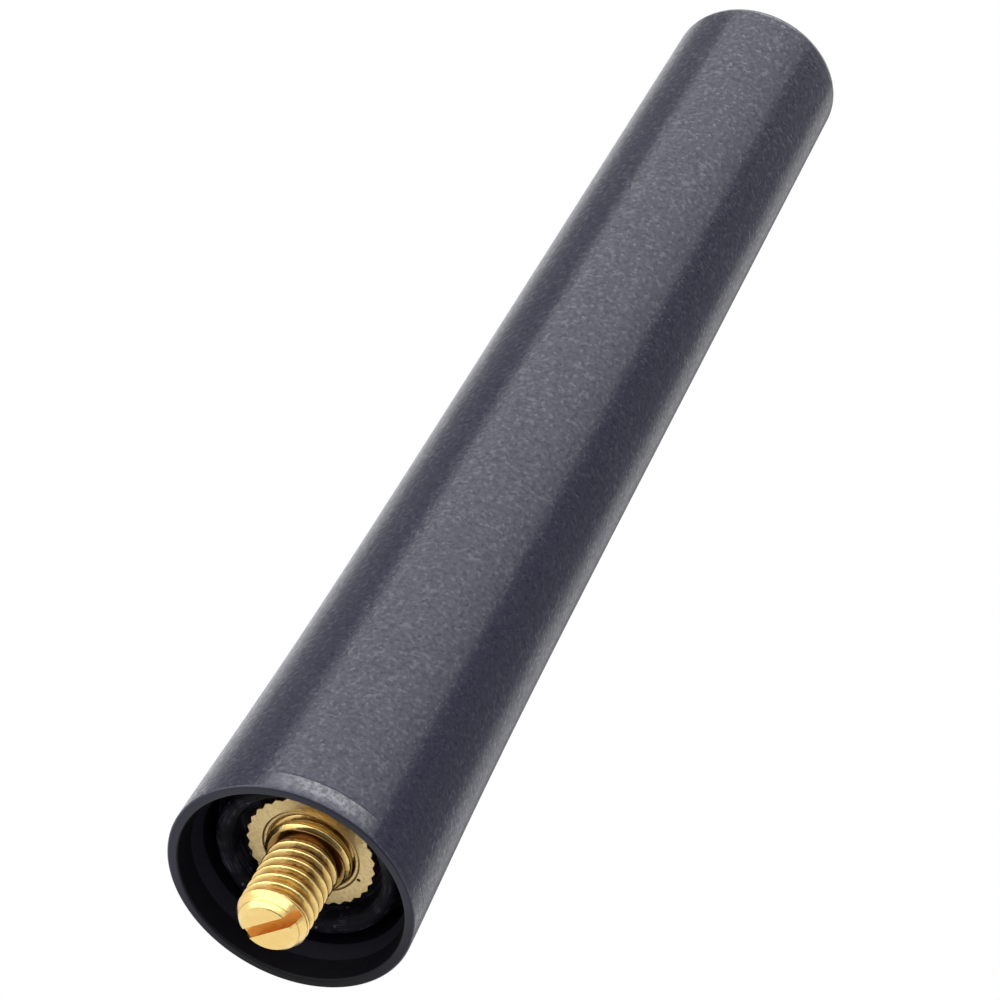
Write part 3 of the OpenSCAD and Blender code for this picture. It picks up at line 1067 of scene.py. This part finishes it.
def addLamp(name, place, elevation, bearing, wide, high, radiance):
    # A flat lamp that faces the axis: its power is radiance times pi times its area
    data = bpy.data.lights.new(name, "AREA")
    data.shape = "RECTANGLE"
    data.size = wide * mm
    data.size_y = high * mm
    data.energy = radiance * math.pi * data.size * data.size_y
    data.color = lampSettings["tint"]
    lamp = bpy.data.objects.new(name, data)
    lamp.location = [c * mm for c in place]
    lamp.rotation_euler = (math.radians(90 - elevation), 0, math.radians(bearing))
    lamp.visible_camera = False
    bpy.context.scene.collection.objects.link(lamp)


def addLamps():
    # A strip's width is twice the distance times the tangent of half its angle
    s = lampSettings
    distance = s["distance"]
    for rowName, row in s["rows"].items():
        for number, (bearing, width, share) in enumerate(s["strips"]):
            place = bearingPoint(bearing, distance, (row["low"] + row["high"]) / 2)
            wide = 2 * distance * math.tan(math.radians(width / 2))
            addLamp("%s%d" % (rowName, number), place, 0.0, bearing, wide, row["high"] - row["low"],
                    row["radiance"] * share)
    low = s["low"]
    lift = math.radians(low["elevation"])
    place = bearingPoint(low["bearing"], low["distance"] * math.cos(lift), low["distance"] * math.sin(lift))
    addLamp("lowLamp", place, low["elevation"], low["bearing"], low["wide"], low["high"], low["radiance"])


# Grey cards that the camera doesn't see, but the gloss does
cardSettings = {
    "distance": 560.0,
    "roughness": 0.9,
    "columns": 13,
    # each upright card goes from one bearing to another and from one height to another, and has its grey
    "upright": {
        "rightDarkCard": (40.5, 116.0, 230.0, 900.0, 0.22),
        "rightPaleCard": (116.0, 153.0, 230.0, 900.0, 0.60),
        "backCard": (153.0, 190.0, 230.0, 900.0, 0.22),
        "leftBackCard": (-170.0, -152.0, 230.0, 900.0, 0.92),
        "leftPaleCard": (-152.0, -132.5, 230.0, 900.0, 0.80),
        "leftCard": (-132.5, -76.0, 230.0, 900.0, 0.41),
        "rightLowCard": (28.0, 82.0, -560.0, -20.0, 0.60),
    },
    "nadir": {"middle": (30.0, 0.0), "radius": 190.0, "height": -300.0, "grey": 0.12, "corners": 48},
}


def glossCard(name, points, faces, grey):
    # A grey card that only reflections see
    card = addMesh(name, points, faces, False)
    paint = Finish(name + "Paint").surface(Base_Color=(grey, grey, grey), Roughness=cardSettings["roughness"])
    card.data.materials.append(paint)
    card.visible_camera = False
    card.visible_diffuse = False
    card.visible_shadow = False


def addCards():
    # Upright cards bent round the axis between two bearings, and a round one straight below
    s = cardSettings
    count = s["columns"]
    for name, (start, end, low, high, grey) in s["upright"].items():
        bearings = np.linspace(start, end, count)
        points = [bearingPoint(bearing, s["distance"], height)
                  for height in (low, high) for bearing in bearings]
        faces = [(i, i + 1, count + i + 1, count + i) for i in range(count - 1)]
        glossCard(name, points, faces, grey)
    below = s["nadir"]
    turn = np.linspace(0, 2 * np.pi, below["corners"], endpoint=False)
    x = below["middle"][0] + below["radius"] * np.cos(turn)
    y = below["middle"][1] + below["radius"] * np.sin(turn)
    ring = np.stack([x, y, np.full_like(turn, below["height"])], 1)
    glossCard("nadirCard", ring, [range(below["corners"])], below["grey"])


setStage()
addLamps()
addCards()
bpy.context.scene.view_settings.view_transform = "Standard"
print("camera, stage and lamps set")
